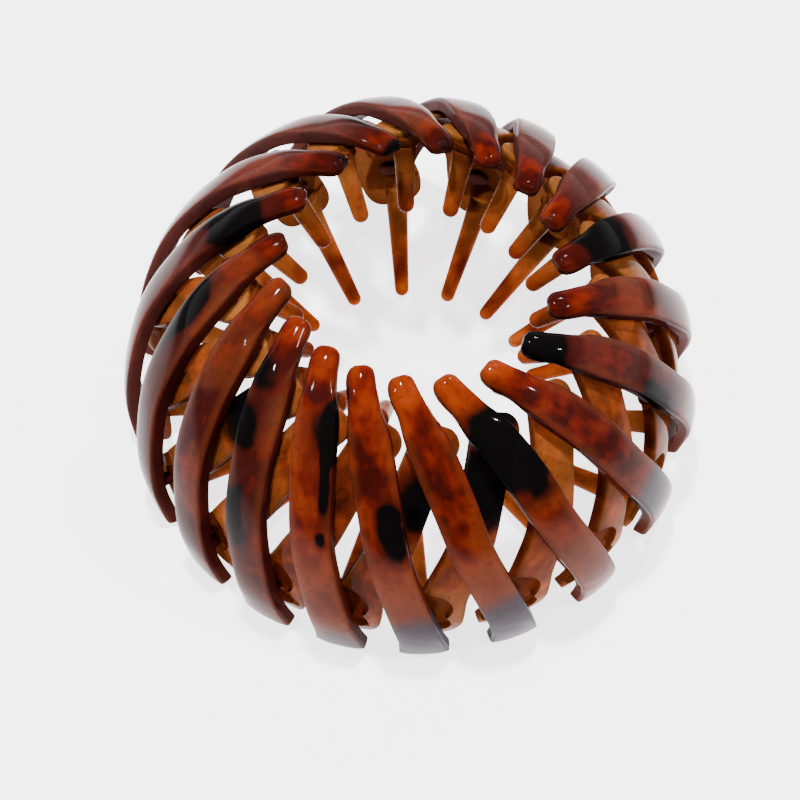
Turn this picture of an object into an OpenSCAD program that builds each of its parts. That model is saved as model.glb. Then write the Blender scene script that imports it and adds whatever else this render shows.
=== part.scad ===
// Expanding bun clip: a ring of crossing ribs that opens and closes like a scissor lattice.
// The origin is the middle of the ring on the surface that it rests on, with +Z up.
// Every rib lies on one bowl-shaped surface. A place on it is given by the distance along
// the bowl's profile, the turn round the ring and the depth below the outer face.

/* [Ring] */
// Number of crossings, which is also the number of outer and of inner ribs
crossings = 18; // [18:1:18]
// Turn of the first outer rib's tip round the ring, in degrees
first_turn = -130.75; // [-180:0.25:180]
// How unevenly the lattice lies round the ring, in degrees
uneven = 6.6; // [0:0.1:7]
// Turn from the first rib to the place where the uneven spacing is furthest ahead, in degrees
uneven_at = -45; // [-180:1:180]
// Further unevenness, which comes twice round the ring, in degrees
oval = 3.2; // [0:0.1:3.5]
// Turn from the first rib to the place where this one is furthest ahead, in degrees
oval_at = -38; // [-180:1:180]

/* [Ribs] */
// Thickness of an outer rib
outer_thick = 2.8; // [2.4:0.1:3.2]
// Thickness of an inner rib
inner_thick = 2.4; // [2:0.1:2.8]
// Clear gap between the outer and the inner ribs
rib_gap = 0.45; // [0.4:0.05:0.6]
// Radius of an inner rib's round upper end
knob_r = 3.8; // [3.4:0.1:4.2]

/* [Teeth] */
// Distance of a short tooth's end from the ring's axis
short_end_r = 19.6; // [19:0.1:23]
// Height of a short tooth's end
short_end_z = 33.7; // [30:0.1:36]
// Distance of a long tooth's end from the ring's axis
long_end_r = 22.2; // [21:0.1:28]
// Height of the middle of a long tooth's end
long_end_z = 2.2; // [1.8:0.1:4]

/* [Pivots] */
// Radius of the pegs at the upper and lower pivots
peg_r = 1.2; // [1:0.1:1.4]
// Clearance round a peg in the inner rib's hole
peg_play = 0.5; // [0.4:0.05:0.6]
// Radius of the head of a lower peg
peg_head_r = 1.95; // [1.85:0.05:2]
// Radius of the head of a middle pin
pin_head_r = 2.2; // [2:0.1:2.4]
// Thickness of the heads of pegs and pins
head_thick = 0.7; // [0.6:0.1:1]
// Radius of the pin through the middle pivot
pin_r = 1.2; // [1:0.1:1.4]
// Running clearance round a pin
pin_play = 0.05; // [0.03:0.01:0.08]

/* [Hidden] */
// Turn from one crossing to the next
pitch = 360 / crossings;

// The bowl's profile, from the tips over the top and down to the feet
RADIUS = 0;
HEIGHT = 1;
bowl = [
    // radius, height
    [19.7, 51.9],
    [24.0, 50.9],
    [29.15, 49.35],
    [34.7, 46.05],
    [41.1, 40.1],
    [47.25, 30.05],
    [50.35, 20.6],
    [51.65, 10.4],
    [50.3, 0.2],
    [48.2, -7]
];
TOP_PIVOT = 3;
MIDDLE_PIVOT = 5;
LOWER_PIVOT = 7;

// An outer rib: its place down the bowl, its turn from its own tip and its width
PLACE = 0;
TURN = 1;
WIDTH = 2;
outer_line = [
    // place, turn, width
    [0.82, -2.5, 1.8],
    [0.87, -2.15, 3.0],
    [0.95, -1.6, 4.0],
    [1.07, -0.75, 4.6],
    [1.25, 0.5, 4.9],
    [1.5, 2.4, 4.9],
    [1.8, 4.7, 5.0],
    [2.15, 6.8, 5.4],
    [2.45, 8.6, 6.1],
    [2.7, 10.2, 6.7],
    [3.0, 12.0, 7.1],
    [3.5, 14.8, 7.3],
    [4.0, 17.3, 7.3],
    [4.5, 19.7, 7.2],
    [5.0, 22.0, 7.1],
    [6.0, 26.2, 7.0],
    [7.0, 29.8, 7.4],
    [7.4, 30.9, 7.9],
    [7.7, 31.4, 8.6],
    [8.2, 31.8, 9.0]
];
// Turn of the middle pivot from an outer rib's tip; the others are half a pitch either side
middle_turn = 22;
half_pitch = pitch / 2;

// An inner rib: its place down the bowl, its turn from the middle pivot, its width and
// how far it draws in from the bowl near its foot
DRAW_IN = 3;
inner_line = [
    // place, turn, width, draw-in
    [2.32, 14.8, 3.2, 0],
    [2.45, 14.1, 6, 0],
    [2.65, 13, 7.6, 0],
    [2.92, 11.4, 8.1, 0],
    [3.5, 7.3, 7.4, 0],
    [4.1, 4.3, 7.4, 0],
    [5.0, 0.0, 7.6, 0],
    [6.0, -5.0, 7.6, 0],
    [6.4, -6.8, 8.2, 0],
    [6.7, -7.7, 9.5, 0],
    [7.0, -8.6, 10.8, 0],
    [7.3, -9.7, 11.4, 0.1],
    [7.55, -10.6, 11.3, 0.3],
    [7.75, -11.2, 10.6, 0.5],
    [7.88, -11.6, 9.2, 0.7],
    [7.97, -11.9, 7.2, 0.9],
    [8.03, -12.1, 4.4, 1.1]
];
inner_deep = outer_thick + rib_gap;

// Sections across a rib: the part of the half width, and the part of the thickness
outer_section = [
    [-1, 0.8], [-1, 0.28], [-0.8, 0.08], [-0.35, 0], [0.35, 0],
    [0.8, 0.08], [1, 0.28], [1, 0.8], [0.86, 1], [-0.86, 1]
];
inner_section = [
    [-1, 0.78], [-1, 0.26], [-0.72, 0.04], [0.72, 0.04],
    [1, 0.26], [1, 0.78], [0.84, 1], [-0.84, 1]
];

// Teeth of an inner rib: the short one stands beside the top pivot, toward the ring's axis,
// and the long one reaches in from the lower end
short_root_step = 3.8;
short_root_r = 2.0;
short_tip_r = 1.45;
long_root = [7.5, -10.9];
long_root_r = 2.2;
long_tip_r = 1.3;
tooth_fn = 32;
pivot_fn = 32;
too_far = 80;
// Clearance between a pin's end and the bottom of its blind hole
pin_end_play = 0.15;

function two_digits(n) = n < 10 ? str("0", n) : str(n);
outer_names = [for (i = [1:crossings]) str("outer_rib_", two_digits(i))];
inner_names = [for (i = [1:crossings]) str("inner_rib_", two_digits(i))];
pin_names = [for (i = [1:crossings]) str("pivot_pin_", two_digits(i))];

// A smooth value through a column of a table whose rows are numbered 0, 1, 2 and so on
function clamp_row(rows, k) = rows[max(0, min(len(rows) - 1, k))];
function smooth_at(rows, place, column) =
    let (
        k = max(0, min(len(rows) - 2, floor(place))),
        f = place - k,
        a = clamp_row(rows, k - 1)[column],
        b = clamp_row(rows, k)[column],
        c = clamp_row(rows, k + 1)[column],
        d = clamp_row(rows, k + 2)[column]
    )
    b + 0.5 * f * (c - a + f * (2 * a - 5 * b + 4 * c - d + f * (3 * (b - c) + d - a)));

function bowl_radius(place) = smooth_at(bowl, place, RADIUS);
function bowl_height(place) = smooth_at(bowl, place, HEIGHT);
function bowl_run(place) =
    let (
        e = 0.01,
        dr = bowl_radius(place + e) - bowl_radius(place - e),
        dz = bowl_height(place + e) - bowl_height(place - e)
    )
    [dr, dz] / norm([dr, dz]);

// Real turn round the ring of a turn on an evenly spaced lattice
function real_turn(turn) =
    turn + uneven * cos(turn - first_turn - uneven_at)
    + oval * cos(2 * (turn - first_turn - oval_at));

// A point of the ring, from its place down the bowl, its even turn, a step across the rib
// that runs in the direction (down the bowl, round the ring), and its depth
function ring_point(place, turn, across, run, deep) =
    let (
        m = bowl_run(place),
        down = -across * run[1],
        r = bowl_radius(place) + down * m[0] + deep * m[1],
        z = bowl_height(place) + down * m[1] - deep * m[0],
        a = real_turn(turn) + across * run[0] / r * 180 / PI
    )
    [r * cos(a), r * sin(a), z];

// Direction of a rib's middle line at row k of its table, as (down the bowl, round the ring)
function line_run(rows, k) =
    let (
        p = clamp_row(rows, k - 1),
        q = clamp_row(rows, k + 1),
        down = norm([
            bowl_radius(q[PLACE]) - bowl_radius(p[PLACE]),
            bowl_height(q[PLACE]) - bowl_height(p[PLACE])
        ]),
        round_step = (q[TURN] - p[TURN]) * PI / 180 * bowl_radius(rows[k][PLACE])
    )
    [down, round_step] / norm([down, round_step]);

function draw_in(row) = len(row) > DRAW_IN ? row[DRAW_IN] : 0;

// One closed solid swept along the rows of a rib's table
module swept_rib(rows, section, start_turn, deep, thick) {
    n = len(section);
    rings = len(rows);
    points = [
        for (k = [0:rings - 1])
            let (row = rows[k], run = line_run(rows, k))
                for (s = section)
                    ring_point(row[PLACE], start_turn + row[TURN], s[0] * row[WIDTH] / 2,
                        run, deep + draw_in(row) + s[1] * thick)
    ];
    sides = [
        for (k = [0:rings - 2])
            for (j = [0:n - 1])
                let (a = k * n + j, b = k * n + (j + 1) % n)
                    each [[a, b, a + n], [b, b + n, a + n]]
    ];
    first_cap = [[for (j = [0:n - 1]) n - 1 - j]];
    last_cap = [[for (j = [0:n - 1]) (rings - 1) * n + j]];
    polyhedron(points, concat(sides, first_cap, last_cap), convexity = 6);
}

// Stands a shape on the bowl: its +Z points out along the bowl's normal
module on_bowl(place, turn, deep) {
    m = bowl_run(place);
    translate(ring_point(place, turn, 0, [1, 0], deep))
        rotate([0, acos(m[0]), real_turn(turn)])
            children();
}

// A round tapered tooth with a ball end, from one point to another
module tooth(root, tip, root_r, tip_r) {
    d = tip - root;
    length = norm(d);
    translate(root)
        rotate([0, acos(d[2] / length), atan2(d[1], d[0])]) {
            cylinder(h = length, r1 = root_r, r2 = tip_r, $fn = tooth_fn);
            translate([0, 0, length])
                sphere(r = tip_r, $fn = tooth_fn);
        }
}

function polar(r, turn, z) = [r * cos(turn), r * sin(turn), z];

// A peg under an outer rib that ends flush with the inner rib's inner face
module peg(place, turn) {
    shank = rib_gap + inner_thick;
    on_bowl(place, turn, outer_thick + shank)
        cylinder(h = shank + outer_thick / 2, r = peg_r, $fn = pivot_fn);
}

// The head on a peg, which keeps the inner rib on it
module peg_head(place, turn) {
    on_bowl(place, turn, inner_deep + inner_thick + rib_gap + head_thick) {
        cylinder(h = head_thick, r = peg_head_r, $fn = pivot_fn);
        cylinder(h = head_thick + rib_gap + inner_thick / 2, r = peg_r, $fn = pivot_fn);
    }
}

module outer_rib(i) {
    start = first_turn + pitch * i;
    middle = start + middle_turn;
    color("#6b2a14")
        difference() {
            union() {
                swept_rib(outer_line, outer_section, start, 0, outer_thick);
                peg(TOP_PIVOT, middle - half_pitch);
                peg(LOWER_PIVOT, middle + half_pitch);
                peg_head(LOWER_PIVOT, middle + half_pitch);
            }
            on_bowl(MIDDLE_PIVOT, middle, outer_thick + 1)
                cylinder(h = 1 + outer_thick / 2, r = pin_r + pin_play, $fn = pivot_fn);
            below_floor();
        }
}

// A round hole through an inner rib
module inner_bore(place, turn, r) {
    on_bowl(place, turn, inner_deep + inner_thick + 1)
        cylinder(h = inner_thick + 2, r = r, $fn = pivot_fn);
}

module inner_rib(i) {
    middle = first_turn + pitch * i + middle_turn;
    top = middle + half_pitch;
    half_deep = inner_deep + inner_thick / 2;
    color("#a5581c")
        difference() {
            union() {
                swept_rib(inner_line, inner_section, middle, inner_deep, inner_thick);
                on_bowl(TOP_PIVOT, top, inner_deep + inner_thick)
                    cylinder(h = inner_thick, r = knob_r, $fn = pivot_fn);
                tooth(
                    ring_point(TOP_PIVOT, top, short_root_step, [0, 1], half_deep),
                    polar(short_end_r + short_tip_r, real_turn(top), short_end_z + short_tip_r),
                    short_root_r, short_tip_r
                );
                tooth(
                    ring_point(long_root[PLACE], middle + long_root[TURN], 0, [1, 0], half_deep),
                    polar(long_end_r + long_tip_r, real_turn(middle + long_root[TURN]), long_end_z),
                    long_root_r, long_tip_r
                );
            }
            inner_bore(TOP_PIVOT, top, peg_r + peg_play);
            inner_bore(MIDDLE_PIVOT, middle, pin_r + pin_play);
            inner_bore(LOWER_PIVOT, middle - half_pitch, peg_r + peg_play);
            below_floor();
        }
}

// The pin that both ribs of a crossing turn on: its end is blind in the outer rib
module pivot_pin(i) {
    middle = first_turn + pitch * i + middle_turn;
    under_head = inner_deep + inner_thick + rib_gap;
    end_deep = outer_thick / 2 + pin_end_play;
    color("#8a4015")
        on_bowl(MIDDLE_PIVOT, middle, under_head + head_thick) {
            cylinder(h = head_thick, r = pin_head_r, $fn = pivot_fn);
            cylinder(h = head_thick + under_head - end_deep, r = pin_r, $fn = pivot_fn);
        }
}

module below_floor() {
    translate([-too_far, -too_far, -2 * too_far])
        cube(2 * too_far);
}

for (i = [0:crossings - 1]) {
    outer_rib(i);
    inner_rib(i);
    pivot_pin(i);
}
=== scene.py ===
"""An expanding bun clip: a ring of crossing ribs in glossy tortoiseshell plastic.

A rib of each kind is modelled flat, in millimetres: X runs down its middle line, Y across it
and Z out of its face. It is then copied, and each copy is bent onto the bowl of the ring.
"""

import math

import bmesh
import bpy
import numpy as np
from mathutils import Matrix, Vector


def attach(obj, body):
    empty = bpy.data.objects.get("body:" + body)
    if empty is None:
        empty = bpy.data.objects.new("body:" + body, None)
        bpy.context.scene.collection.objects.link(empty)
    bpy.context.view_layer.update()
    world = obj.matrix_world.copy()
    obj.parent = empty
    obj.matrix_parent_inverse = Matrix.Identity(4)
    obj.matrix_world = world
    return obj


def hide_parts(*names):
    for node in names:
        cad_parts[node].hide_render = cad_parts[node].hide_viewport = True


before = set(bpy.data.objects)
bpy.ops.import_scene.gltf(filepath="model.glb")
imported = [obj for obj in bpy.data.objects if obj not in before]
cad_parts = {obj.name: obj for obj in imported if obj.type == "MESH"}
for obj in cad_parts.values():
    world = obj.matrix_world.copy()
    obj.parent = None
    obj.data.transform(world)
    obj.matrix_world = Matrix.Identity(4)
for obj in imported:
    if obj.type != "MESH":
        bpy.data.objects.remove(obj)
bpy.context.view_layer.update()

MM = 0.001

# The lattice, as in the part's source, in millimetres and degrees

CROSSINGS = 18
PITCH = 360 / CROSSINGS
FIRST_TURN = -130.75
# How far the crossings crowd to one side of the ring, and to two opposite sides
UNEVEN = 6.6
UNEVEN_AT = -45
OVAL = 3.2
OVAL_AT = -38
# From the start of an outer rib's line to its middle pivot
MIDDLE_TURN = 22
OUTER_THICK = 2.8
INNER_THICK = 2.4
RIB_GAP = 0.45
INNER_DEEP = OUTER_THICK + RIB_GAP
INNER_HALF_DEEP = INNER_DEEP + INNER_THICK / 2
INNER_BACK = INNER_DEEP + INNER_THICK
# A place down the bowl is a row of this table, or lies part of the way between two rows
BOWL = np.array(
    [  # radius, height
        [19.7, 51.9],
        [24.0, 50.9],
        [29.15, 49.35],
        [34.7, 46.05],
        [41.1, 40.1],
        [47.25, 30.05],
        [50.35, 20.6],
        [51.65, 10.4],
        [50.3, 0.2],
        [48.2, -7],
    ]
)
TOP_PIVOT = 3
MIDDLE_PIVOT = 5
LOWER_PIVOT = 7
OUTER_LINE = [  # place down the bowl, turn from the rib's tip
    (0.6, -4.0),
    (0.82, -2.5),
    (1.07, -0.75),
    (1.25, 0.5),
    (1.5, 2.4),
    (1.8, 4.7),
    (2.15, 6.8),
    (2.45, 8.6),
    (2.7, 10.2),
    (3.0, 12.0),
    (3.5, 14.8),
    (4.0, 17.3),
    (4.5, 19.7),
    (5.0, 22.0),
    (6.0, 26.2),
    (7.0, 29.8),
    (7.4, 30.9),
    (7.7, 31.4),
    (8.4, 31.9),
]
INNER_LINE = [  # place down the bowl, turn from the middle pivot
    (2.1, 14.7),
    (3.0, 10.0),
    (3.5, 7.3),
    (4.0, 4.8),
    (4.5, 2.4),
    (5.0, 0.0),
    (6.0, -5.0),
    (6.5, -7.4),
    (7.0, -9.6),
    (7.3, -10.7),
    (7.55, -11.5),
    (8.3, -13.8),
]
INNER_DRAW_IN = [  # place, how far the rib draws in from the bowl
    (7.0, 0),
    (7.3, 0.1),
    (7.55, 0.3),
    (7.75, 0.5),
    (7.88, 0.7),
    (8.03, 1.1),
]
LINE_STEPS = 800


def real_turn(turn):
    """Real turn round the ring of turns on an evenly spaced lattice, in degrees."""
    once = np.radians(turn - FIRST_TURN - UNEVEN_AT)
    twice = np.radians(2 * (turn - FIRST_TURN - OVAL_AT))
    return turn + UNEVEN * np.cos(once) + OVAL * np.cos(twice)


def bowl_at(place):
    """Radius and height of the bowl at an array of places, on a smooth curve."""
    place = np.asarray(place, float)
    last = len(BOWL) - 1
    row = np.clip(np.floor(place).astype(int), 0, last - 1)
    part = (place - row)[..., None]
    a, b, c, d = (BOWL[np.clip(row + step, 0, last)] for step in (-1, 0, 1, 2))
    curve = 2 * a - 5 * b + 4 * c - d + part * (3 * (b - c) + d - a)
    return b + 0.5 * part * (c - a + part * curve)


def bowl_run(place):
    """Direction down the bowl, as (radius, height)."""
    step = 0.01
    way = bowl_at(np.asarray(place) + step) - bowl_at(np.asarray(place) - step)
    return way / np.linalg.norm(way, axis=-1, keepdims=True)


class RibLine:
    """The middle line of a kind of rib on an even lattice, by length in millimetres."""

    def __init__(self, rows):
        rows = np.array(rows, float)
        self.place = np.linspace(rows[0, 0], rows[-1, 0], LINE_STEPS)
        slope = np.gradient(rows[:, 1], rows[:, 0])
        k = np.clip(np.searchsorted(rows[:, 0], self.place, "right") - 1, 0, len(rows) - 2)
        gap = rows[k + 1, 0] - rows[k, 0]
        f = (self.place - rows[k, 0]) / gap
        self.turn = (
            (2 * f**3 - 3 * f**2 + 1) * rows[k, 1]
            + (f**3 - 2 * f**2 + f) * gap * slope[k]
            + (3 * f**2 - 2 * f**3) * rows[k + 1, 1]
            + (f**3 - f**2) * gap * slope[k + 1]
        )
        bowl = bowl_at(self.place)
        down = np.linalg.norm(np.gradient(bowl, axis=0), axis=1)
        turned = np.gradient(np.radians(self.turn)) * bowl[:, 0]
        step = np.hypot(down, turned)
        self.run = np.stack([down / step, turned / step], 1)
        self.length = np.concatenate([[0], np.cumsum((step[1:] + step[:-1]) / 2)])

    def length_at(self, place):
        """Length down the line to a place."""
        return float(np.interp(place, self.place, self.length))

    def at(self, x):
        """Place, turn and direction (down the bowl, round the ring) at lengths x."""
        return (
            np.interp(x, self.length, self.place),
            np.interp(x, self.length, self.turn),
            np.interp(x, self.length, self.run[:, 0]),
            np.interp(x, self.length, self.run[:, 1]),
        )


def lower_pivot(line, goal):
    """The lower pivot of a flat rib, at a turn from the start of its line."""
    x = line.length_at(LOWER_PIVOT)
    _, turn, run_down, run_round = line.at(x)
    step = math.radians(goal - turn) * BOWL[LOWER_PIVOT, 0]
    return float(x + step * run_round), float(step * run_down)


def ring_points(place, turn, across, run_down, run_round, deep):
    """Points of the ring in millimetres from arrays of places, real turns and depths."""
    bowl = bowl_at(place)
    way = bowl_run(place)
    down = -across * run_round
    radius = bowl[:, 0] + down * way[:, 0] + deep * way[:, 1]
    height = bowl[:, 1] + down * way[:, 1] - deep * way[:, 0]
    angle = np.radians(turn) + across * run_down / radius
    return np.stack([radius * np.cos(angle), radius * np.sin(angle), height], 1)


def smooth_step(low, high, value):
    """0 below low, 1 above high, and smooth in between."""
    t = np.clip((value - low) / (high - low), 0, 1)
    return t * t * (3 - 2 * t)


outer_line = RibLine(OUTER_LINE)
inner_line = RibLine(INNER_LINE)

# Modelling by hand, in edit mode


def deselect():
    bpy.ops.object.select_all(action="DESELECT")


def select_only(piece):
    deselect()
    piece.select_set(True)
    bpy.context.view_layer.objects.active = piece


def edit(piece):
    select_only(piece)
    bpy.ops.object.mode_set(mode="EDIT")


def leave_edit():
    bpy.ops.object.mode_set(mode="OBJECT")


def pick(piece, kind, test):
    """Selects the vertices, or the edges by their two ends, that pass a test."""
    bpy.ops.mesh.select_mode(type=kind)
    bpy.ops.mesh.select_all(action="DESELECT")
    mesh = bmesh.from_edit_mesh(piece.data)
    if kind == "VERT":
        chosen = [vertex for vertex in mesh.verts if test(vertex.co)]
    else:
        chosen = [edge for edge in mesh.edges if test(*(vertex.co for vertex in edge.verts))]
    for item in chosen:
        item.select_set(True)
    mesh.select_flush_mode()
    bmesh.update_edit_mesh(piece.data)


def resize(x=1, y=1, z=1, about=(0, 0, 0)):
    bpy.ops.transform.resize(value=(x, y, z), center_override=about)


def shift(x=0, y=0, z=0):
    bpy.ops.transform.translate(value=(x, y, z))


def cut(point, normal):
    """Cuts the whole piece along a plane, and keeps both sides."""
    bpy.ops.mesh.select_all(action="SELECT")
    bpy.ops.mesh.bisect(plane_co=point, plane_no=normal)


def apply_modifier(piece, name, kind, **settings):
    select_only(piece)
    modifier = piece.modifiers.new(name, kind)
    for key, value in settings.items():
        setattr(modifier, key, value)
    bpy.ops.object.modifier_apply(modifier=modifier.name)


def combine(piece, tool, operation):
    """Joins a tool to a piece, or cuts it out of it, and removes the tool."""
    apply_modifier(
        piece, "Combine", "BOOLEAN", object=tool, operation=operation, solver="EXACT"
    )
    bpy.data.objects.remove(tool)


# Parts of a rib's width from its middle: the cuts beside its crest, and the start of its sides
CREST = 0.24
SIDE = 0.4
# How close a point is to the station, level or face that it belongs to
AT_STATION = 1e-3
AT_LEVEL = 1e-4
AT_FACE = 0.01
CORNER_SEGMENTS = 2
SMOOTH_LEVELS = 2
ROUND_SIDES = 24


def shape_station(rib, station, face, thick):
    """Moves the points of a flat rib, still one wide, to their places at a station."""
    x, middle, width, drop, crown, tuck = station
    half_way = face - thick / 2

    def near(co):
        return abs(co.x - x) < AT_STATION

    pick(rib, "VERT", lambda co: near(co) and co.z < half_way)
    shift(z=tuck)
    pick(rib, "VERT", lambda co: near(co) and co.z > half_way and abs(co.y) > SIDE)
    shift(z=-crown)
    pick(rib, "VERT", lambda co: near(co) and co.z > face - crown - AT_FACE)
    shift(z=-drop)
    pick(rib, "VERT", near)
    resize(y=width, about=(x, 0, 0))
    shift(y=middle)


def flat_rib(name, stations, face, thick, corner):
    """A flat rib with rounded corners from a table of stations down its length.

    A station is (length, middle, width, drop, crown, tuck). The drop is how far the face lies
    below its level, the crown how far its sides lie lower still, and the tuck how far the back
    rises.
    """
    xs, middles, widths = zip(*(station[:3] for station in stations))
    deselect()
    bpy.ops.mesh.primitive_cube_add(size=1)
    rib = bpy.context.object
    rib.name = name
    edit(rib)
    bpy.ops.mesh.select_all(action="SELECT")
    resize(x=xs[-1] - xs[0], z=thick)
    shift(x=(xs[0] + xs[-1]) / 2, z=face - thick / 2)
    for x in xs[1:-1]:
        cut((x, 0, 0), (1, 0, 0))
    for y in (-CREST, CREST):
        cut((0, y, 0), (0, 1, 0))
    for station in stations:
        shape_station(rib, station, face, thick)

    def at_side(co):
        middle, width = (float(np.interp(co.x, xs, column)) for column in (middles, widths))
        return abs(co.y - middle) > SIDE * width

    def along_corner(a, b):
        return abs(a.x - b.x) > AT_STATION and at_side(a) and at_side(b)

    pick(rib, "EDGE", along_corner)
    bpy.ops.mesh.bevel(
        offset=corner, segments=CORNER_SEGMENTS, affect="EDGES", clamp_overlap=True
    )
    leave_edit()
    apply_modifier(rib, "Smooth", "SUBSURF", levels=SMOOTH_LEVELS, render_levels=SMOOTH_LEVELS)
    return rib


def turned(name, profile, x, y, z, sides=ROUND_SIDES):
    """A round shape standing down from (x, y, z), from a table of (distance, radius)."""
    start = profile[0][0]
    length = profile[-1][0] - start
    deselect()
    bpy.ops.mesh.primitive_cylinder_add(
        vertices=sides, radius=1, depth=length, location=(0, 0, -length / 2)
    )
    shape = bpy.context.object
    shape.name = name
    bpy.ops.object.transform_apply(location=True, rotation=False, scale=False)
    edit(shape)
    for distance, _ in profile[1:-1]:
        cut((0, 0, start - distance), (0, 0, 1))
    for distance, radius in profile:
        level = start - distance
        pick(shape, "VERT", lambda co: abs(co.z - level) < AT_LEVEL)
        resize(x=radius, y=radius, about=(0, 0, level))
    bpy.ops.mesh.select_all(action="SELECT")
    shift(x=x, y=y, z=z - start)
    leave_edit()
    return shape


def stations_from(x, rows):
    """Stations from rows whose lengths are counted from x."""
    return [(x + row[0], *row[1:]) for row in rows]


# The outer rib: a finger, a broad curved body and a foot

FINGER_TIP = 0.8
finger_x = outer_line.length_at(FINGER_TIP)
# The foot ends where the bowl reaches the floor
low_places = np.linspace(7.5, 8.4, 200)
foot_place = float(np.interp(0, -bowl_at(low_places)[:, 1], low_places))
foot_x = outer_line.length_at(foot_place)
outer_pivots = {
    "top": (outer_line.length_at(TOP_PIVOT), 0.0),
    "middle": (outer_line.length_at(MIDDLE_PIVOT), 0.0),
    "lower": lower_pivot(outer_line, MIDDLE_TURN + PITCH / 2),
}

FINGER_STATIONS = [  # length from the tip, middle, width, drop, crown, tuck
    (0, 0, 2.3, 0.75, 0.6, 0.5),
    (0.5, 0, 3.6, 0.3, 0.9, 0.25),
    (1.25, 0, 4.5, 0.08, 1.05, 0.05),
    (2.4, 0, 4.9, 0, 1.1, 0),
]
BODY_STATIONS = [  # place, width, crown
    (1.45, 5.0, 1.05),
    (1.75, 5.05, 1.0),
    (2.0, 5.25, 0.9),
    (2.25, 5.75, 0.75),
    (2.5, 6.4, 0.6),
    (2.75, 7.0, 0.45),
    (3.05, 7.35, 0.36),
    (3.4, 7.45, 0.32),
    (3.8, 7.45, 0.32),
    (4.2, 7.4, 0.32),
    (4.6, 7.3, 0.32),
    (5.0, 7.2, 0.32),
    (5.5, 7.15, 0.32),
    (6.0, 7.15, 0.32),
    (6.5, 7.25, 0.32),
]
FOOT_STATIONS = [  # length from the floor, middle, width, drop, crown, tuck
    (-9.0, 0, 7.4, 0, 0.32, 0),
    (-6.0, 0.05, 7.8, 0, 0.32, 0),
    (-3.2, 0.15, 8.4, 0, 0.3, 0),
    (-1.9, 0.2, 8.85, 0, 0.28, 0),
    (-1.1, 0.2, 8.9, 0.06, 0.3, 0.02),
    (-0.4, 0.2, 8.2, 0.3, 0.4, 0.15),
    (0, 0.2, 6.4, 0.65, 0.5, 0.35),
]
OUTER_CORNER = 0.5
outer_stations = stations_from(finger_x, FINGER_STATIONS)
outer_stations += [
    (outer_line.length_at(place), 0, width, 0, crown, 0) for place, width, crown in BODY_STATIONS
]
outer_stations += stations_from(foot_x, FOOT_STATIONS)
outer_master = flat_rib("outer_master", outer_stations, 0, OUTER_THICK, OUTER_CORNER)

# The pegs start half way through the rib. The lower one has a head behind the inner rib.
PEG_RADIUS = 1.2
PEG_CHAMFER = 0.2
HEAD_RADIUS = 1.95
HEAD_THICK = 0.7
HEAD_CHAMFER_IN = 0.3
HEAD_CHAMFER_DOWN = 0.25
PEG_START = OUTER_THICK / 2
head_start = INNER_BACK + RIB_GAP - PEG_START
top_peg = [
    (0, PEG_RADIUS),
    (INNER_BACK - PEG_START - PEG_CHAMFER, PEG_RADIUS),
    (INNER_BACK - PEG_START, PEG_RADIUS - PEG_CHAMFER),
]
lower_peg = [
    (0, PEG_RADIUS),
    (head_start - 0.01, PEG_RADIUS),
    (head_start, HEAD_RADIUS),
    (head_start + HEAD_THICK - HEAD_CHAMFER_DOWN, HEAD_RADIUS),
    (head_start + HEAD_THICK, HEAD_RADIUS - HEAD_CHAMFER_IN),
]
for pivot, profile in (("top", top_peg), ("lower", lower_peg)):
    x, y = outer_pivots[pivot]
    combine(outer_master, turned("peg", profile, x, y, -PEG_START), "UNION")

# A hole is cut with a tool that stands out of the rib, so that no two faces lie in one plane
PIN_BORE = 1.25
OUTER_TOOL = 4
INNER_TOOL = 5
TOOL_OUT = 1
x, y = outer_pivots["middle"]
bore = turned("bore", [(0, PIN_BORE), (OUTER_TOOL, PIN_BORE)], x, y, -OUTER_THICK / 2)
combine(outer_master, bore, "DIFFERENCE")

# The mark that the mould leaves in the foot's lower edge
MARK_RADIUS = 0.8
MARK_UP = 0.9
MARK_ASIDE = 1.3
MARK_OUT = 0.4
deselect()
bpy.ops.mesh.primitive_uv_sphere_add(
    segments=16,
    ring_count=10,
    radius=MARK_RADIUS,
    location=(foot_x - MARK_UP, MARK_ASIDE, MARK_OUT),
)
combine(outer_master, bpy.context.object, "DIFFERENCE")

# The inner rib: a knob with a short tooth, a band, and a paddle with a long tooth

top_x = inner_line.length_at(TOP_PIVOT)
middle_x = inner_line.length_at(MIDDLE_PIVOT)
paddle_x = inner_line.length_at(LOWER_PIVOT)
hole_x, hole_y = lower_pivot(inner_line, -PITCH / 2)
INNER_CROWN = 0.12
INNER_CORNER = 0.4
KNOB_STATIONS = [  # length from the top pivot, middle, width, drop, crown, tuck
    (-5.3, 0.6, 2.6, 0.1, 0.3, 0.4),
    (-4.9, 0.6, 4.4, 0, 0.2, 0.15),
    (-4.2, 0.6, 6.0, 0, 0.15, 0),
    (-3.0, 0.6, 7.5, 0, INNER_CROWN, 0),
    (-1.5, 0.57, 8.0, 0, INNER_CROWN, 0),
    (0, 0.45, 8.0, 0, INNER_CROWN, 0),
    (1.7, 0.22, 7.7, 0, INNER_CROWN, 0),
    (3.4, 0.05, 7.4, 0, INNER_CROWN, 0),
]
BAND_STATIONS = [  # place, middle, width
    (3.9, 0, 7.4),
    (4.3, 0, 7.4),
    (4.7, 0, 7.4),
    (5.0, 0, 7.6),
    (5.4, 0, 7.6),
    (5.8, 0, 7.7),
    (6.15, 0.1, 7.8),
    (6.4, 0.4, 8.5),
    (6.7, 0.8, 9.8),
    (7.0, 1.05, 11.0),
    (7.3, 1.05, 11.5),
    (7.55, 0.95, 11.4),
    (7.77, 0.9, 10.6),
    (7.9, 0.9, 8.8),
]
PADDLE_END = [  # place, middle, width, drop, crown, tuck
    (7.98, 0.9, 6.6, 0, 0.2, 0.15),
    (8.02, 0.9, 4.4, 0.1, 0.3, 0.4),
]
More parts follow.
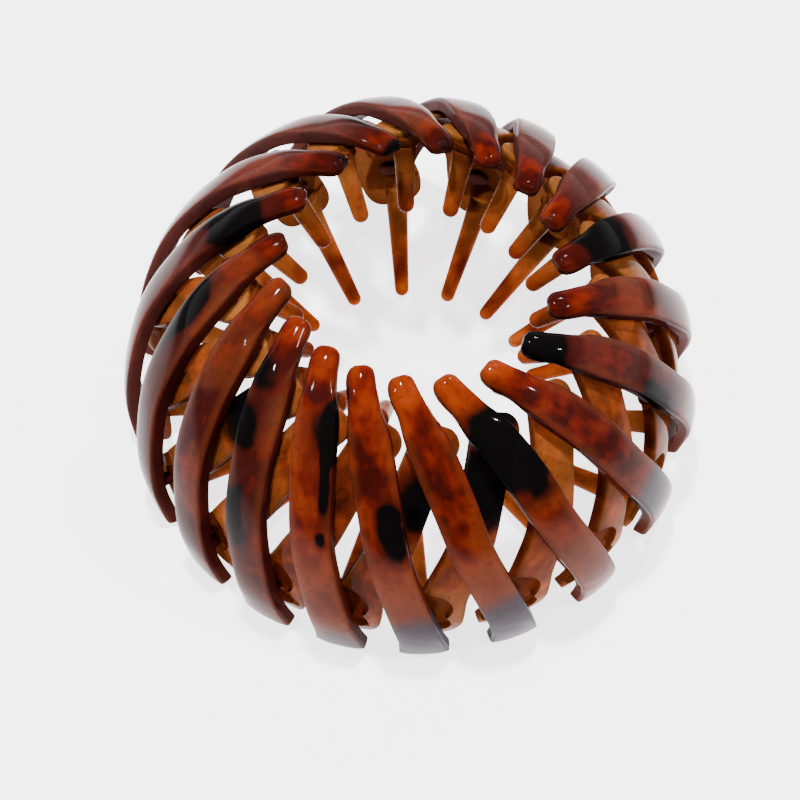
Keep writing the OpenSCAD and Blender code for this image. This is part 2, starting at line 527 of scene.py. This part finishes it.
inner_stations = stations_from(top_x, KNOB_STATIONS)
inner_stations += [
    (inner_line.length_at(place), middle, width, 0, INNER_CROWN, 0)
    for place, middle, width in BAND_STATIONS
]
inner_stations += [(inner_line.length_at(place), *row) for place, *row in PADDLE_END]
inner_master = flat_rib("inner_master", inner_stations, -INNER_DEEP, INNER_THICK, INNER_CORNER)

# The short tooth stands a step up the bowl from the top pivot, the long one on the paddle.
# REACH is the radius of the ring at a tooth's end, LOW the height of the end's underside, and
# HEIGHT that of its middle.
SHORT_STEP = 3.8
SHORT_ROOT_RADIUS = 2.0
SHORT_TIP_RADIUS = 1.45
SHORT_FLARE = 0.6
SHORT_REACH = 19.6
SHORT_LOW = 33.7
LONG_PLACE = 7.5
LONG_ROOT_RADIUS = 2.2
LONG_TIP_RADIUS = 1.3
LONG_FLARE = 0.5
LONG_REACH = 22.2
LONG_HEIGHT = 2.2
FLARE_CURVE = [  # distance out of the rib, share of the flare
    (0, 1),
    (0.35, 0.45),
    (1.0, 0.08),
]
TAPER_PARTS = (0.4, 0.7)
BALL_ANGLES = (0.35, 0.75, 1.1, 1.4)

_, _, top_down, top_round = inner_line.at(top_x)
short_x = top_x - SHORT_STEP * top_down
short_y = SHORT_STEP * top_round
long_x = inner_line.length_at(LONG_PLACE)
# The middles of the ball ends, as (radius, height)
short_end = np.array([SHORT_REACH + SHORT_TIP_RADIUS, SHORT_LOW + SHORT_TIP_RADIUS])
long_end = np.array([LONG_REACH + LONG_TIP_RADIUS, LONG_HEIGHT])


def half_deep_point(place, step):
    """The middle of an inner rib a step up the bowl from a place, as (radius, height)."""
    run = bowl_run([place])[0]
    return bowl_at([place])[0] - step * run + INNER_HALF_DEEP * np.array([run[1], -run[0]])


def tooth_profile(length, root, tip, flare):
    """Distances and radii down a tooth from the middle of the rib, with a ball end."""
    start = INNER_THICK / 2
    rows = [(0, root + flare)]
    rows += [(start + out, root + share * flare) for out, share in FLARE_CURVE]
    rows += [(start + 1.9, root - 0.05)]
    rows += [(length * part, root + (tip - root) * part) for part in TAPER_PARTS]
    rows += [(length, tip)]
    rows += [(length + tip * math.sin(turn), tip * math.cos(turn)) for turn in BALL_ANGLES]
    return rows


short_length = float(np.linalg.norm(short_end - half_deep_point(TOP_PIVOT, SHORT_STEP)))
long_length = float(np.linalg.norm(long_end - half_deep_point(LONG_PLACE, 0)))
short_profile = tooth_profile(short_length, SHORT_ROOT_RADIUS, SHORT_TIP_RADIUS, SHORT_FLARE)
long_profile = tooth_profile(long_length, LONG_ROOT_RADIUS, LONG_TIP_RADIUS, LONG_FLARE)
TEETH = [  # root in the flat rib, profile and end
    (short_x, short_y, short_profile, short_end),
    (long_x, 0.0, long_profile, long_end),
]
for x, y, profile, _ in TEETH:
    combine(inner_master, turned("tooth", profile, x, y, -INNER_HALF_DEEP), "UNION")

PEG_HOLE = 1.7
POCKET_DEEP = 1.0
POCKET_TAPER = 0.3
POCKET_SIDES = 48
POCKETS = [  # length, middle, radius
    (paddle_x - 3.9, -2.3, 5.0),
    (paddle_x + 2.0, -0.8, 5.2),
]
for x, y, radius in POCKETS:
    profile = [(0, radius + POCKET_TAPER), (TOOL_OUT + POCKET_DEEP, radius)]
    pocket = turned("pocket", profile, x, y, TOOL_OUT - INNER_DEEP, sides=POCKET_SIDES)
    combine(inner_master, pocket, "DIFFERENCE")
for x, y, radius in ((top_x, 0, PEG_HOLE), (middle_x, 0, PIN_BORE), (hole_x, hole_y, PEG_HOLE)):
    bore = turned("bore", [(0, radius), (INNER_TOOL, radius)], x, y, TOOL_OUT - INNER_DEEP)
    combine(inner_master, bore, "DIFFERENCE")

# Where the dark patches lie: rib, from and to place, from and to across, strength

OUTER_PATCHES = [
    (1, 2.3, 3.8, 1.2, 4.8, 1.0),
    (1, 2.2, 3.9, -1.5, 3.0, 0.4),
    (1, 3.2, 4.5, 1.6, 3.5, 1.0),
    (1, 4.75, 5.0, 1.2, 2.8, 1.0),
    (2, 1.2, 1.9, -4.0, -1.2, 0.6),
    (2, 4.0, 5.0, -0.6, 3.6, 1.0),
    (4, 2.2, 4.0, -6.0, 6.0, 1.1),
    (6, 0.3, 2.1, -6.0, 6.0, 1.1),
    (6, 3.9, 4.9, -6.0, 0.0, 0.8),
    (8, 1.6, 3.3, -6.0, 6.0, 1.1),
    (11, 2.6, 4.2, -6.0, 0.0, 0.8),
    (12, 0.3, 1.4, -6.0, 6.0, 0.5),
    (13, 1.4, 3.0, -6.0, 0.0, 0.9),
    (13, 0.3, 1.0, -6.0, 6.0, 0.55),
    (14, 0.3, 1.5, -6.0, 6.0, 0.45),
    (15, 1.8, 3.5, -6.0, 6.0, 1.0),
    (16, 3.0, 4.4, -6.0, 0.8, 1.1),
    (16, 5.4, 6.5, -6.0, -1.2, 0.8),
    (18, 1.8, 3.2, -6.0, 2.0, 0.5),
    (18, 3.1, 4.2, -6.0, 0.4, 0.8),
    (18, 4.5, 5.8, -4.5, 0.8, 0.75),
]
INNER_PATCHES = [
    (2, 3.5, 4.5, -3.0, 5.5, 1.0),
    (3, 3.2, 4.5, -6.0, 6.0, 1.1),
    (3, 1.9, 3.0, -6.0, 6.0, 0.75),
    (9, 3.0, 4.0, -4.0, 4.0, 0.6),
    (17, 3.0, 4.2, -6.0, 6.0, 1.1),
]
# Where the outer ribs are painted grey, in the same way: on the feet a painted sheen that stands
# for the floor's reflection, higher up grey cloudy plastic
SLATE_AND_SHEEN_PATCHES = [
    (1, 6.8, 9.5, -8.0, 8.0, 0.6),
    (2, 6.5, 9.5, -8.0, 8.0, 1.0),
    (3, 6.3, 9.5, -8.0, 8.0, 1.1),
    (5, 5.3, 6.7, -8.0, 8.0, 0.7),
    (6, 4.2, 5.2, -6.0, 1.0, 0.6),
    (15, 2.0, 2.9, -6.0, 6.0, 0.5),
    (18, 4.9, 5.9, -4.0, 2.0, 0.6),
]
# How orange each outer rib is at these places down the bowl, from rib 1 to rib 18
GLOW_PLACES = [1.2, 2.4, 3.6, 5.2, 7.0]
OUTER_GLOW = [
    (0.62, 0.45, 0.60, 0.50, 0.40),
    (0.68, 0.48, 0.40, 0.60, 0.45),
    (0.85, 0.58, 0.35, 0.60, 0.45),
    (0.88, 0.75, 0.50, 0.35, 0.45),
    (0.80, 0.30, 0.20, 0.30, 0.50),
    (0.20, 0.25, 0.20, 0.35, 0.45),
    (0.30, 0.20, 0.20, 0.40, 0.45),
    (0.25, 0.20, 0.20, 0.30, 0.30),
    (0.25, 0.25, 0.25, 0.30, 0.30),
    (0.25, 0.25, 0.25, 0.30, 0.30),
    (0.20, 0.15, 0.20, 0.20, 0.25),
    (0.05, 0.10, 0.15, 0.20, 0.20),
    (0.05, 0.10, 0.10, 0.20, 0.20),
    (0.05, 0.15, 0.15, 0.15, 0.15),
    (0.10, 0.10, 0.15, 0.20, 0.10),
    (0.25, 0.05, 0.05, 0.10, 0.00),
    (0.20, 0.12, 0.05, 0.05, 0.00),
    (0.45, 0.10, 0.05, 0.05, 0.10),
]
# How much honey colour each outer rib has below its middle
OUTER_HONEY = [
    0.5, 0.6, 0.6, 0.7, 0.6, 0.5, 0.5, 0.5, 0.5,
    0.4, 0.3, 0.2, 0.2, 0.2, 0.1, 0.0, 0.0, 0.1,
]
# How strong each outer rib's painted sheen of the bright surroundings is below its finger, which
# makes it look cloudy
OUTER_HAZE_SHEEN = [
    0.05, 0.0, 0.0, 0.0, 0.1, 0.3, 0.2, 0.3, 0.5,
    0.6, 0.5, 0.4, 0.5, 0.4, 0.35, 0.1, 0.05, 0.1,
]
# How orange each inner rib is, how much honey colour it has, and where that lies
INNER_GLOW = [
    0.35, 0.35, 0.35, 0.5, 0.5, 0.5, 0.5, 0.5, 0.5,
    0.5, 0.5, 0.5, 0.5, 0.4, 0.5, 0.4, 0.35, 0.4,
]
INNER_HONEY = [
    0.2, 0.2, 0.3, 0.4, 0.5, 0.6, 0.7, 0.9, 0.9,
    0.9, 0.9, 0.9, 0.9, 0.8, 0.8, 0.6, 0.6, 0.3,
]
INNER_HONEY_DOWN = [  # place, share
    (2.5, 0.7),
    (4, 0.3),
    (6, 0.4),
    (7, 0.9),
]
FOOT_HONEY = 0.4
TOOTH_GLOW = 0.15
FINGER_ROUND = 0.9
# How square a patch is, how strong it is in its middle, and how soon it fades
PATCH_SQUARE = 2.5
PATCH_CORE = 1.3
PATCH_FADE = 0.8
# How far the painted shade of the walls reaches over a rib's outline, and over an outer rib's
# low end
OUTLINE_SHADE = 0.55
LOW_END_SHADE = 0.28


def patch_strength(patches, number, place, across):
    """How strong a rib's patches are: about a half at their outlines, less further out."""
    most = np.zeros(len(place))
    for rib, low, high, left, right, strength in patches:
        if rib == number:
            along = np.abs(2 * place - low - high) / (high - low)
            side = np.abs(2 * across - left - right) / (right - left)
            out = (along**PATCH_SQUARE + side**PATCH_SQUARE) ** (1 / PATCH_SQUARE)
            fading = np.clip(PATCH_CORE - PATCH_FADE * out, 0, PATCH_CORE)
            most = np.maximum(most, strength * fading)
    return most


def edge_marks(flat, stations, under):
    """Painted shade on the side walls and outline of a rib, and a painted highlight on the rim
    at the top of its walls.
    """
    xs, middles, widths = zip(*(station[:3] for station in stations))
    middle, width = (np.interp(flat[:, 0], xs, column) for column in (middles, widths))
    side = np.abs(flat[:, 1] - middle) / width * 2
    outline_shade = OUTLINE_SHADE * smooth_step(0.75, 0.98, side)
    wall_shade = np.maximum(smooth_step(0.5, 1.1, under), outline_shade)
    rim_highlight = smooth_step(0.05, 0.2, under) - smooth_step(0.35, 0.6, under)
    return wall_shade, rim_highlight


def outer_marks(flat, place, number):
    """What the finish reads at each point of an outer rib."""
    across = flat[:, 1]
    honey = OUTER_HONEY[number - 1] * smooth_step(4.5, 5.8, place)
    honey += FOOT_HONEY * smooth_step(7.1, 7.8, place)
    # The round sides of the finger turn into walls further down than the body's
    under = -flat[:, 2] - FINGER_ROUND * (1 - smooth_step(1.8, 2.7, place))
    wall_shade, rim_highlight = edge_marks(flat, outer_stations, under)
    return {
        "dark": patch_strength(OUTER_PATCHES, number, place, across),
        "glow": np.interp(place, GLOW_PLACES, OUTER_GLOW[number - 1]),
        "honey": honey,
        "slate_and_sheen": patch_strength(SLATE_AND_SHEEN_PATCHES, number, place, across),
        "haze_sheen": OUTER_HAZE_SHEEN[number - 1] * smooth_step(1.3, 2.8, place),
        # Painted wall shade, which also darkens the low end a little
        "wall_shade": np.maximum(wall_shade, LOW_END_SHADE * smooth_step(4.8, 7.2, place)),
        "rim_highlight": rim_highlight,
    }


def inner_marks(flat, place, tooth, number):
    """What the finish reads at each point of an inner rib."""
    behind = -INNER_BACK - flat[:, 2]
    honey = INNER_HONEY[number - 1] * np.interp(place, *zip(*INNER_HONEY_DOWN))
    under = (-flat[:, 2] - INNER_DEEP) * (1 - tooth)
    wall_shade, rim_highlight = edge_marks(flat, inner_stations, under)
    none = np.zeros(len(flat))
    return {
        "dark": patch_strength(INNER_PATCHES, number, place, flat[:, 1]) * (1 - tooth),
        "glow": INNER_GLOW[number - 1] + TOOTH_GLOW * tooth,
        "honey": honey * (1 - smooth_step(3, 13, behind)),
        "slate_and_sheen": none,
        "haze_sheen": none,
        "wall_shade": wall_shade,
        "rim_highlight": rim_highlight,
    }


# Bending the ribs onto the ring

# How far up the foot its end is made level with the floor
FOOT_LEVELLED = 9
# The foot's end leans a little less than its depth asks for
FOOT_LEAN = 0.9
# How far round its middle a tooth's points are, and how soon it leaves the rib's curve
TOOTH_REACH = 3.2
TOOTH_BLEND = 1.2
# Millimetres of a flat rib in a unit of its UV map
UV_SIZE = 100


def outer_points(flat, turn_from):
    """An outer rib's points on the ring, and their places down the bowl."""
    x, across, deep = flat[:, 0], flat[:, 1], -flat[:, 2]
    place, _, run_down, run_round = outer_line.at(x)
    level = smooth_step(foot_x - FOOT_LEVELLED, foot_x - 1, x)
    lean = across * run_round - deep * bowl_run(place)[:, 0] * FOOT_LEAN
    place, turn, run_down, run_round = outer_line.at(x + level * lean / run_down)
    turn = real_turn(turn_from + turn)
    # The lower peg stands on its real pivot, beside its rib's real line
    peg_x, peg_y = outer_pivots["lower"]
    reach = np.hypot(x - peg_x, across - peg_y)
    peg = (reach < HEAD_RADIUS + 0.1) & (deep > OUTER_THICK + 0.1)
    _, now, down, _ = outer_line.at(peg_x)
    now = real_turn(turn_from + now) + math.degrees(peg_y * down / BOWL[LOWER_PIVOT, 0])
    turn[peg] += real_turn(turn_from + MIDDLE_TURN + PITCH / 2) - now
    return ring_points(place, turn, across, run_down, run_round, deep), place


def place_tooth(points, flat, tooth, turn_from):
    """Sets a tooth's points on a straight line from its root in the rib to its end."""
    x, y, _, end = tooth
    near = np.hypot(flat[:, 0] - x, flat[:, 1] - y) < TOOTH_REACH
    near &= flat[:, 2] < -INNER_BACK - 0.02
    place, turn, run_down, run_round = inner_line.at(np.array([x, x + 0.1]))
    turn = real_turn(turn_from + turn)
    roots = ring_points(
        place, turn, np.array([y, y]), run_down, run_round, np.full(2, INNER_HALF_DEEP)
    )
    root = roots[0]
    angle = math.atan2(root[1], root[0])
    goal = np.array([end[0] * math.cos(angle), end[0] * math.sin(angle), end[1]])
    axis = (goal - root) / np.linalg.norm(goal - root)
    side_x = roots[1] - roots[0]
    side_x -= axis * side_x.dot(axis)
    side_x /= np.linalg.norm(side_x)
    side_y = np.cross(-axis, side_x)
    local = flat[near]
    straight = (
        root
        + np.outer(local[:, 0] - x, side_x)
        + np.outer(local[:, 1] - y, side_y)
        + np.outer(-local[:, 2] - INNER_HALF_DEEP, axis)
    )
    blend = smooth_step(0, TOOTH_BLEND, -INNER_BACK - local[:, 2])[:, None]
    points[near] = points[near] * (1 - blend) + straight * blend
    return near


def inner_points(flat, turn_from):
    """An inner rib's points on the ring, their places, and how far out on a tooth they are."""
    place, turn, run_down, run_round = inner_line.at(flat[:, 0])
    deep = -flat[:, 2] + np.interp(place, *zip(*INNER_DRAW_IN))
    turn = real_turn(turn_from + turn)
    points = ring_points(place, turn, flat[:, 1], run_down, run_round, deep)
    tooth = np.zeros(len(flat))
    for row in TEETH:
        near = place_tooth(points, flat, row, turn_from)
        tooth[near] = smooth_step(0, 3, -INNER_BACK - flat[near, 2])
    return points, place, tooth


def vertex_array(mesh):
    """The places of a mesh's vertices, as rows of an array."""
    points = np.empty(len(mesh.vertices) * 3)
    mesh.vertices.foreach_get("co", points)
    return points.reshape(-1, 3)


def bent_copy(kind, number):
    """A copy of a kind's flat rib with its own mesh, bent and marked for its finish."""
    start_turn = FIRST_TURN + PITCH * (number - 1)
    mesh = (outer_master if kind == "outer" else inner_master).data.copy()
    flat = vertex_array(mesh)
    if kind == "outer":
        points, place = outer_points(flat, start_turn)
        marks = outer_marks(flat, place, number)
    else:
        points, place, tooth = inner_points(flat, start_turn + MIDDLE_TURN)
        marks = inner_marks(flat, place, tooth, number)
    mesh.vertices.foreach_set("co", (points * MM).ravel())
    for label, values in marks.items():
        attribute = mesh.attributes.new(label, "FLOAT", "POINT")
        attribute.data.foreach_set("value", values.astype(np.float32))
    uv = mesh.uv_layers.new(name="rib")
    loops = np.empty(len(mesh.loops), np.int32)
    mesh.loops.foreach_get("vertex_index", loops)
    # The streaks' map slides with the depth, so that they don't run straight down the walls
    along, across = flat[:, 0] - 0.5 * flat[:, 2], flat[:, 1] + 0.3 * flat[:, 2]
    flat_uv = np.stack([along, across], 1) / UV_SIZE
    uv.data.foreach_set("uv", flat_uv[loops].astype(np.float32).ravel())
    mesh.update()
    piece = bpy.data.objects.new(f"{kind}_rib_shape_{number:02d}", mesh)
    bpy.context.scene.collection.objects.link(piece)
    return piece


# Materials

BLACK = (0.003, 0.0025, 0.0025, 1)
# Grey: a painted sheen of the floor's reflection on the feet, and grey plastic elsewhere
SLATE_AND_SHEEN = (0.035, 0.036, 0.048, 1)
# A painted sheen of the bright surroundings, a cloudy mauve
HAZE_SHEEN = (0.085, 0.034, 0.03, 1)
# How fine the patterns are: waves in a metre, but for the streaks in a unit of the UV map
CLOUD_SCALE = 200
LARGE_SCALE = 60
SPECK_SCALE = 1100
RIPPLE_SCALE = 170
FINE_RIPPLE_SCALE = 650
STREAK_SCALE = 22


class Shade:
    """A shader socket that adds Math nodes when it is used in an expression."""

    def __init__(self, tree, socket):
        self.tree = tree
        self.socket = socket

    def node(self, kind, settings=None, stops=None, out=0, **inputs):
        """Adds a node, sets it up, and fills its sockets.

        A socket's name has _ for a space, and a socket with no name of its own is its number
        after a _.
        """
        made = self.tree.nodes.new(kind)
        for key, value in (settings or {}).items():
            setattr(made, key, value)
        if stops:
            ramp = made.color_ramp.elements
            while len(ramp) < len(stops):
                ramp.new(0.5)
            for element, (position, color) in zip(ramp, stops):
                element.position = position
                element.color = color
        for key, value in inputs.items():
            index = int(key[1:]) if key[0] == "_" else key.replace("_", " ")
            if isinstance(value, Shade):
                self.tree.links.new(value.socket, made.inputs[index])
            else:
                made.inputs[index].default_value = value
        return Shade(self.tree, made.outputs[out])

    def math(self, operation, first, second):
        return self.node("ShaderNodeMath", {"operation": operation}, _0=first, _1=second)

    def __add__(self, other):
        return self.math("ADD", self, other)

    def __mul__(self, other):
        return self.math("MULTIPLY", self, other)

    def __sub__(self, other):
        return self.math("SUBTRACT", self, other)

    def __rsub__(self, other):
        return self.math("SUBTRACT", other, self)

    __radd__ = __add__
    __rmul__ = __mul__

    def between(self, low, high):
        """0 below low, 1 above high, and smooth in between."""
        settings = {"interpolation_type": "SMOOTHSTEP"}
        return self.node("ShaderNodeMapRange", settings, _0=self, _1=low, _2=high)

    def mix(self, first, second):
        """First where this mask is 0, second where it is 1."""
        settings = {"data_type": "RGBA"}
        return self.node("ShaderNodeMix", settings, out=2, _0=self, _6=first, _7=second)


def new_material(name):
    """An empty material, and a first Shade that adds nodes to it."""
    material = bpy.data.materials.new(name)
    material.use_nodes = True
    tree = material.node_tree
    tree.nodes.clear()
    return material, Shade(tree, None)


def tortoiseshell(name, deep, body, bright, honey, clear, coat):
    """Glossy see-through plastic with soft clouds, streaks along the rib and black patches,
    painted shade on the walls, a painted highlight on the rims, and painted sheen.
    """
    material, start = new_material(name)
    where = start.node("ShaderNodeTexCoord", out=3)
    along = start.node("ShaderNodeUVMap", {"uv_map": "rib"})
    stretched = start.node("ShaderNodeMapping", _0=along, Scale=(1, 2.4, 1))

    def noise(vector, scale, detail):
        made = start.node(
            "ShaderNodeTexNoise", Vector=vector, Scale=scale, Detail=detail, Roughness=0.55
        )
        return made.between(0.3, 0.7)

    def read(label):
        return start.node("ShaderNodeAttribute", {"attribute_name": label}, out=2)

    glow, dark, slate_and_sheen, wall_shade, rim_highlight = (read(x) for x in ("glow", "dark", "slate_and_sheen", "wall_shade", "rim_highlight"))
    cloud = noise(where, CLOUD_SCALE, 1.5)
    large = noise(where, LARGE_SCALE, 1)
    streak = noise(stretched, STREAK_SCALE, 2)
    speck = noise(where, SPECK_SCALE, 2)
    # From deep red through the body's colour to orange, by how warm the plastic is
    warm = glow + (cloud - 0.5) * 0.5 + (large - 0.5) * 0.35 + (streak - 0.5) * 0.25
    stops = [(0.12, deep), (0.42, body), (0.95, bright)]
    color = start.node("ShaderNodeValToRGB", stops=stops, Fac=warm)
    color = (read("honey") + large.between(0.75, 1) * 0.3).mix(color, honey)
    # Painted shade on the side walls, and a painted highlight on the rim above them
    color = (wall_shade * 0.75).mix(color, deep)
    color = (rim_highlight * 0.25).mix(color, honey)
    # A painted sheen of the bright surroundings, which clouds the colour
    color = read("haze_sheen").mix(color, HAZE_SHEEN)
    # Painted sheen of the floor's reflection on the feet, and grey plastic elsewhere
    color = (slate_and_sheen.between(0.3, 0.6) * 0.9).mix(color, SLATE_AND_SHEEN)
    color = (speck.between(0.85, 0.97) * 0.3).mix(color, deep)
    # The patches have uneven outlines, with a dark red border
    edge = dark + (cloud - 0.5) * 0.25 + (large - 0.5) * 0.2
    color = (edge.between(0.05, 0.5) * 0.7).mix(color, deep)
    color = edge.between(0.36, 0.62).mix(color, BLACK)
    ripple = noise(where, RIPPLE_SCALE, 2)
    uneven = ripple + noise(where, FINE_RIPPLE_SCALE, 1) * 0.12
    bump = start.node("ShaderNodeBump", Strength=0.2, Distance=0.0004, Height=uneven)
    # Only the coat reflects, and less on the walls, which would mirror the bright floor
    shader = start.node(
        "ShaderNodeBsdfPrincipled",
        Base_Color=color,
        Roughness=ripple * 0.06 + 0.1,
        IOR=1.0,
        Transmission_Weight=clear,
        Coat_Weight=coat - wall_shade * (coat * 0.9),
        Coat_IOR=1.12,
        Coat_Roughness=0.05,
        Normal=bump,
    )
    output = start.tree.nodes.new("ShaderNodeOutputMaterial")
    start.tree.links.new(shader.socket, output.inputs["Surface"])
    return material


outer_finish = tortoiseshell(
    "tortoiseshell",
    deep=(0.035, 0.0035, 0.0025, 1),
    body=(0.11, 0.008, 0.003, 1),
    bright=(0.23, 0.03, 0.005, 1),
    honey=(0.18, 0.042, 0.012, 1),
    clear=0.25,
    coat=1,
)
inner_finish = tortoiseshell(
    "amber",
    deep=(0.06, 0.005, 0.002, 1),
    body=(0.15, 0.015, 0.003, 1),
    bright=(0.42, 0.075, 0.01, 1),
    honey=(0.33, 0.13, 0.03, 1),
    clear=0.4,
    coat=0.5,
)

# The ribs, and the pins, which keep their CAD shape

SHARP_EDGE = math.radians(42)

for number in range(1, CROSSINGS + 1):
    for kind, slot, finish in (
        ("outer", "tortoiseshell", outer_finish),
        ("inner", "amber", inner_finish),
    ):
        rib = bent_copy(kind, number)
        rib.data.materials.clear()
        rib.data.materials.append(finish)
        select_only(rib)
        bpy.ops.object.shade_smooth_by_angle(angle=SHARP_EDGE)
        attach(rib, f"{kind}_{number:02d}")
        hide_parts(f"{kind}_rib_{number:02d}")
    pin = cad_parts[f"pivot_pin_{number:02d}"]
    pin.data.materials.clear()
    pin.data.materials.append(inner_finish)

for master in (outer_master, inner_master):
    bpy.data.objects.remove(master)

# The floor: bright round the clip, as in the photograph, where it glows with light of its own,
# and painted with shade further away, in metres

FLOOR_SIZE = 6
BRIGHT_TO = 0.13
DARK_FROM = 0.28

deselect()
bpy.ops.mesh.primitive_plane_add(size=FLOOR_SIZE)
floor = bpy.context.object
floor.name = "floor"
glowing_floor_paint, start = new_material("glowing_floor_paint")
where = start.node("ShaderNodeTexCoord", out=3)
away = start.node("ShaderNodeVectorMath", {"operation": "LENGTH"}, out=1, _0=where)
far = away.between(BRIGHT_TO, DARK_FROM)
shader = start.node(
    "ShaderNodeBsdfPrincipled",
    Base_Color=far.mix((0.8, 0.78, 0.8, 1), (0.1, 0.09, 0.09, 1)),
    Roughness=0.7,
    Emission_Color=far.mix((1, 0.97, 0.99, 1), (0.05, 0.05, 0.05, 1)),
    Emission_Strength=2.8,
)
output = start.tree.nodes.new("ShaderNodeOutputMaterial")
start.tree.links.new(shader.socket, output.inputs["Surface"])
floor.data.materials.append(glowing_floor_paint)

# The light: a bright band above the horizon, at the back and stronger to the left, and lamps

BAND_LIGHT = 2.2
DIM_LIGHT = 0.17
LAMP_AIM = Vector((0, 0, 0.03))
LAMPS = [  # name, place and size in metres, power in watts
    ("lamp_over", (-0.1, 0.12, 0.9), 0.06, 15),
    ("lamp_back", (0.25, 0.5, 0.7), 0.08, 5),
    ("lamp_right", (0.5, -0.05, 0.7), 0.04, 4),
    ("lamp_left", (-0.55, -0.1, 0.6), 0.04, 4),
]

world = bpy.data.worlds.new("studio")
bpy.context.scene.world = world
world.use_nodes = True
sky = world.node_tree
sky.nodes.clear()
start = Shade(sky, None)
where = start.node("ShaderNodeTexCoord", out=0)
to_right, to_back, up = (
    start.node("ShaderNodeSeparateXYZ", Vector=where, out=axis) for axis in range(3)
)
band = up.between(-0.06, 0.0) - up.between(0.05, 0.35)
side = to_back.between(-0.5, 0.2) * (1.1 - to_right.between(-0.6, 0.8) * 0.45)
light = start.node(
    "ShaderNodeBackground",
    Color=(0.97, 0.98, 1, 1),
    Strength=band * side * BAND_LIGHT + DIM_LIGHT,
)
output = sky.nodes.new("ShaderNodeOutputWorld")
sky.links.new(light.socket, output.inputs["Surface"])

for name, place, size, power in LAMPS:
    data = bpy.data.lights.new(name, "AREA")
    data.shape = "DISK"
    data.size = size
    data.energy = power
    lamp = bpy.data.objects.new(name, data)
    lamp.location = place
    lamp.rotation_euler = (LAMP_AIM - Vector(place)).to_track_quat("-Z", "Y").to_euler()
    bpy.context.scene.collection.objects.link(lamp)

# The camera, fitted to the photograph: metres, pixels of the photograph, and the sensor's
# millimetres

TILT = math.radians(59.5)
CAMERA_FAR = 0.4
FOCAL_PIXELS = 2275
ROLL = math.radians(4.58)
LOOK_AT = Vector((0, 0, 0.025))
LOOK_AT_PIXEL = (414.1, 334.8)
SENSOR = 36
PIXELS = 800

camera_data = bpy.data.cameras.new("camera")
camera_data.sensor_width = SENSOR
camera_data.lens = FOCAL_PIXELS / PIXELS * SENSOR
camera_data.shift_x = (PIXELS / 2 - LOOK_AT_PIXEL[0]) / PIXELS
camera_data.shift_y = (LOOK_AT_PIXEL[1] - PIXELS / 2) / PIXELS
camera = bpy.data.objects.new("camera", camera_data)
bpy.context.scene.collection.objects.link(camera)
camera.location = LOOK_AT + CAMERA_FAR * Vector((0, -math.cos(TILT), math.sin(TILT)))
camera.rotation_mode = "XYZ"
facing = (LOOK_AT - camera.location).to_track_quat("-Z", "Y").to_matrix()
roll_axis = facing @ Vector((0, 0, 1))
camera.rotation_euler = (Matrix.Rotation(ROLL, 3, roll_axis) @ facing).to_euler()
bpy.context.scene.camera = camera
